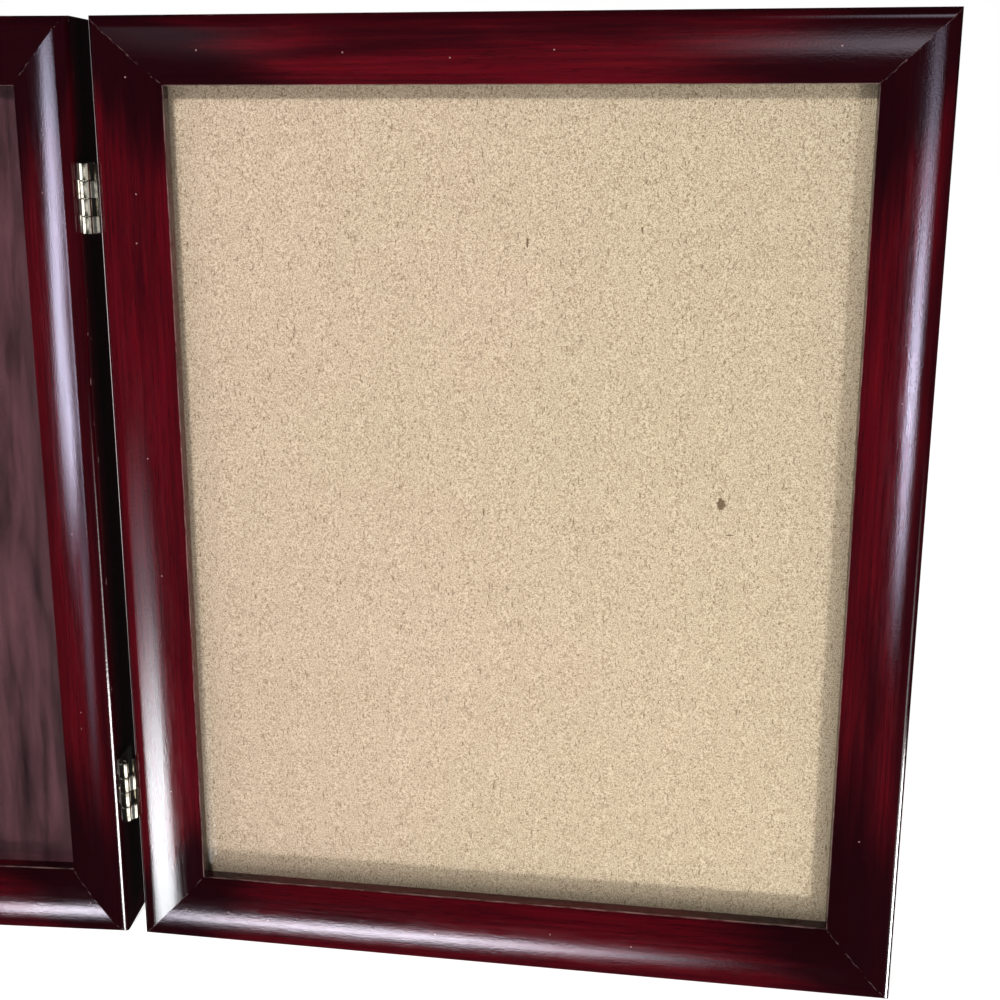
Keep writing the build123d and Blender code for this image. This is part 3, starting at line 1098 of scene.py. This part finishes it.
# A lamp's seat is across, out of and up the right wing from its foot, in millimetres as its size is.
# It turns about its own middle, in degrees, and faces the wing from an azimuth to the right and an elevation.
Lamp = namedtuple(
    "Lamp", "name receivers tint power seat size turn soft azimuth elevation", defaults=(0, FADING, 0, 0))
LAMPS = (
    Lamp("hinge_stile_streak", RIGHT_HINGE_STILE, COOL, 10.2, (145, 700, -392), (225, 490), 12, (0.5, 1.0)),
    Lamp("hinge_stile_fade", RIGHT_HINGE_STILE, LAVENDER, 1.3, (130, 730, -200), (330, 440), 12),
    Lamp("hinge_shoulder_line", RIGHT_HINGE_STILE, WHITE, 0.9, (-500, -500, 40), (300, 520), 0, SOFT, -135),
    Lamp("outer_stile_streak", RIGHT_OUTER_STILE, VIOLET, 4.4, (-64, 700, 25), (84, 480)),
    Lamp("outer_stile_fade", RIGHT_OUTER_STILE, VIOLET, 1.7, (-60, 730, 160), (160, 600)),
    Lamp("bottom_rail_streak", RIGHT_BOTTOM_RAIL, LAVENDER, 7.4, (-85, 700, 5), (660, 100)),
    Lamp("left_rail_streak", LEFT_BOTTOM_RAIL, LAVENDER, 2.6, (-200, 700, 5), (320, 80), 0, (0.7, 0.7)),
    Lamp("left_stile_streak", LEFT_HINGE_STILE, VIOLET, 25.0, (-1015, 700, 70), (420, 960), -33, (0.9, 0.9)),
    Lamp("left_stile_glow", LEFT_HINGE_STILE, VIOLET, 4.6, (-950, 715, -110), (180, 350), -33),
    Lamp("left_stile_fade", LEFT_HINGE_STILE, VIOLET, 1.1, (-900, 730, -330), (200, 620), -20),
    Lamp("left_shoulder_streak", LEFT_HINGE_STILE, VIOLET, 2.8, (-735, 745, 40), (46, 620), 0, (0.8, 0.8)),
    Lamp("top_corner_glow", RIGHT_TOP_RAIL, LAVENDER, 1.7, (400, 700, -230), (540, 320)),
    Lamp("top_crest_glow", RIGHT_TOP_RAIL, LAVENDER, 3.6, (430, 715, 700), (420, 700)),
    Lamp("top_left_haze", RIGHT_TOP_RAIL, LAVENDER, 0.28, (-310, 730, -60), (230, 900)),
    Lamp("left_side_glow", LEFT_HINGE_STILE, WHITE, 5.6, (480, 110, -235), (212, 230), 0, (0.3, 0.3), 90),
    Lamp("left_side_fade", LEFT_HINGE_STILE, WHITE, 1.6, (500, 90, -90), (150, 320), azimuth=90),
    Lamp("right_side_glow", RIGHT_OUTER_STILE, WHITE, 4.0, (480, -15, -195), (110, 320), 0, (0.25, 0.25), 90),
    Lamp("right_side_fade", RIGHT_OUTER_STILE, WHITE, 0.6, (500, 90, -60), (150, 320), azimuth=90),
    Lamp("metal_left", HINGE_METAL, WHITE, 2.6, (-440, 160, 200), (1100, 300), 0, CRISP, -70),
    Lamp("metal_right", HINGE_METAL, WHITE, 0.55, (394, 70, 200), (1100, 260), 0, CRISP, 80),
    Lamp("metal_low", HINGE_METAL, WHITE, 3.1, (394, 70, -230), (1100, 360), 0, CRISP, 80),
    Lamp("metal_front", ALL_METAL, WHITE, 0.6, (250, 700, 200), (800, 300), 0, (0.5, 0.5)),
    Lamp("metal_behind", BACK_METAL, WHITE, 2.4, (150, -600, 300), (900, 700), 0, SOFT, 180),
    Lamp("key_from_top_left", EVERYTHING, WHITE, 5.6, (-50, 690, 670), (90, 90), azimuth=-13, elevation=36),
    Lamp("key_from_low_right", EVERYTHING, WHITE, 7.1, (620, 570, -560), (90, 90), azimuth=42, elevation=-42),
)


def aimed(seat, turn, tilt, roll):
    """A seat by the right wing, looking to its back, then turned left, tilted up and rolled."""
    aim = Matrix.Rotation(turn, 4, "Z") @ Matrix.Rotation(pi / 2 + tilt, 4, "X")
    return wing_place @ Matrix.Translation(seat) @ aim @ Matrix.Rotation(roll, 4, "Z")


def hang_lamp(lamp):
    """A panel lamp round the right wing; one with receivers shows only as their reflection."""
    data = bpy.data.lights.new(lamp.name, "AREA")
    data.shape = "RECTANGLE"
    data.size, data.size_y = (side * MM for side in lamp.size)
    data.energy = lamp.power
    data.color = lamp.tint
    panel = link_object(lamp.name, data)
    u, w, v = lamp.seat
    angles = map(radians, (lamp.azimuth, -lamp.elevation, lamp.turn))
    panel.matrix_world = aimed(Vector((u, -w, v)) * MM, *angles)
    gloss = lamp.receivers is not EVERYTHING
    panel.visible_camera = False
    panel.visible_glossy = gloss
    panel.visible_diffuse = not gloss
    if gloss:
        soften_lamp(data, lamp.soft)
        linking = panel.light_linking
        linking.receiver_collection = piece_group(lamp.name, lamp.receivers)
        linking.blocker_collection = piece_group(f"{lamp.name}_blockers", blockers_of(lamp))


def blockers_of(lamp):
    """What throws a shadow in a lamp's light: every rail of the lit rail's wing, or the lit metal."""
    side = lamp.receivers[0].partition("_")[0]
    if side in SIDES:
        return [f"{side}_{rail}_moulding" for rail in RAIL_NAMES]
    return lamp.receivers


def piece_group(name, words):
    """A collection of the pieces with any of some words in their names."""
    group = bpy.data.collections.new(name)
    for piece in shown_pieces():
        if any(word in piece.name for word in words):
            group.objects.link(piece)
    return group


def soften_lamp(data, soft):
    """Fade a panel lamp towards its edges, over shares of its half width and half height."""
    tree = NodeTree(data, "OutputLight")
    spot = tree.parts(tree.node("NewGeometry").outputs["Parametric"])
    fades = []
    for axis, share in zip("XY", soft):
        from_edge = tree.math("PINGPONG", spot[axis], 0.5)
        fades.append(tree.rise(from_edge, 0.0, share / 2))
    tree.finish(tree.node("Emission", {"Strength": tree.all_of(*fades)}))


def light_world():
    """Pale surroundings that stay dim in reflections, where the panel lamps show instead."""
    world = bpy.data.worlds.new("studio")
    bpy.context.scene.world = world
    tree = NodeTree(world, "OutputWorld")
    rays = tree.node("LightPath").outputs
    unseen = tree.span(rays["Is Glossy Ray"], WORLD_DIFFUSE, WORLD_GLOSS)
    seen = tree.math("MAXIMUM", unseen, tree.span(rays["Is Camera Ray"], 0.0, WORLD_SEEN))
    tree.finish(tree.node("Background", {"Color": opaque(WHITE), "Strength": seen}))


def lay_floor(scene):
    """The floor that the frame stands on."""
    bm = bmesh.new()
    bmesh.ops.create_circle(bm, cap_ends=True, segments=FLOOR_SEGMENTS, radius=FLOOR_RADIUS)
    floor = mesh_object(bm, "floor", pale_floor(scene.finish_colours))
    floor.visible_glossy = False
    floor.visible_shadow = False
    floor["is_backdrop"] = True


def set_camera(scene):
    """The camera in front of the right wing, tilted down."""
    data = bpy.data.cameras.new("camera")
    data.sensor_width = CAMERA_SENSOR
    data.lens = CAMERA_LENS
    data.shift_x, data.shift_y = CAMERA_SHIFT
    data.clip_start = CAMERA_NEAR
    scene.camera = link_object("camera", data)
    scene.camera.matrix_world = aimed(CAMERA_SEAT, CAMERA_TURN, CAMERA_TILT, CAMERA_ROLL)


class PHOTOFRAME_OT_stage(Operator):
    """Lay the floor, hang the lamps and set up the camera"""

    bl_idname = "photo_frame.stage"
    bl_label = "Stage"

    def execute(self, context):
        context.scene.view_settings.view_transform = "Standard"
        lay_floor(context.scene)
        light_world()
        for lamp in LAMPS:
            hang_lamp(lamp)
        set_camera(context.scene)
        return {"FINISHED"}


class PHOTOFRAME_PT_panel(Panel):
    """Lists the pieces and their sizes and colours"""

    bl_idname = "PHOTOFRAME_PT_panel"
    bl_label = "Photo frame"
    bl_space_type = "VIEW_3D"
    bl_region_type = "UI"
    bl_category = "Photo Frame"

    def draw(self, context):
        for operator in OPERATORS:
            self.layout.operator(operator.bl_idname)
        for name, group in GROUPS.items():
            box = self.layout.box()
            for key in group.__annotations__:
                box.prop(getattr(context.scene, name), key)


GROUPS = {
    "moulding_sizes": MouldingSizes,
    "hinge_sizes": HingeSizes,
    "button_sizes": ButtonSizes,
    "finish_colours": FinishColours,
}
OPERATORS = (
    PHOTOFRAME_OT_rails,
    PHOTOFRAME_OT_glazing,
    PHOTOFRAME_OT_hinges,
    PHOTOFRAME_OT_buttons,
    PHOTOFRAME_OT_corner_nails,
    PHOTOFRAME_OT_stage,
)
CLASSES = (*GROUPS.values(), *OPERATORS, PHOTOFRAME_PT_panel)


def register():
    for item in CLASSES:
        bpy.utils.register_class(item)
    for name, group in GROUPS.items():
        setattr(bpy.types.Scene, name, PointerProperty(type=group))


def unregister():
    for name in GROUPS:
        delattr(bpy.types.Scene, name)
    for item in reversed(CLASSES):
        bpy.utils.unregister_class(item)


def main():
    register()
    bpy.ops.photo_frame.rails()
    bpy.ops.photo_frame.glazing()
    bpy.ops.photo_frame.hinges()
    bpy.ops.photo_frame.buttons()
    bpy.ops.photo_frame.corner_nails()
    bpy.ops.photo_frame.stage()


if __name__ == "__main__":
    main()
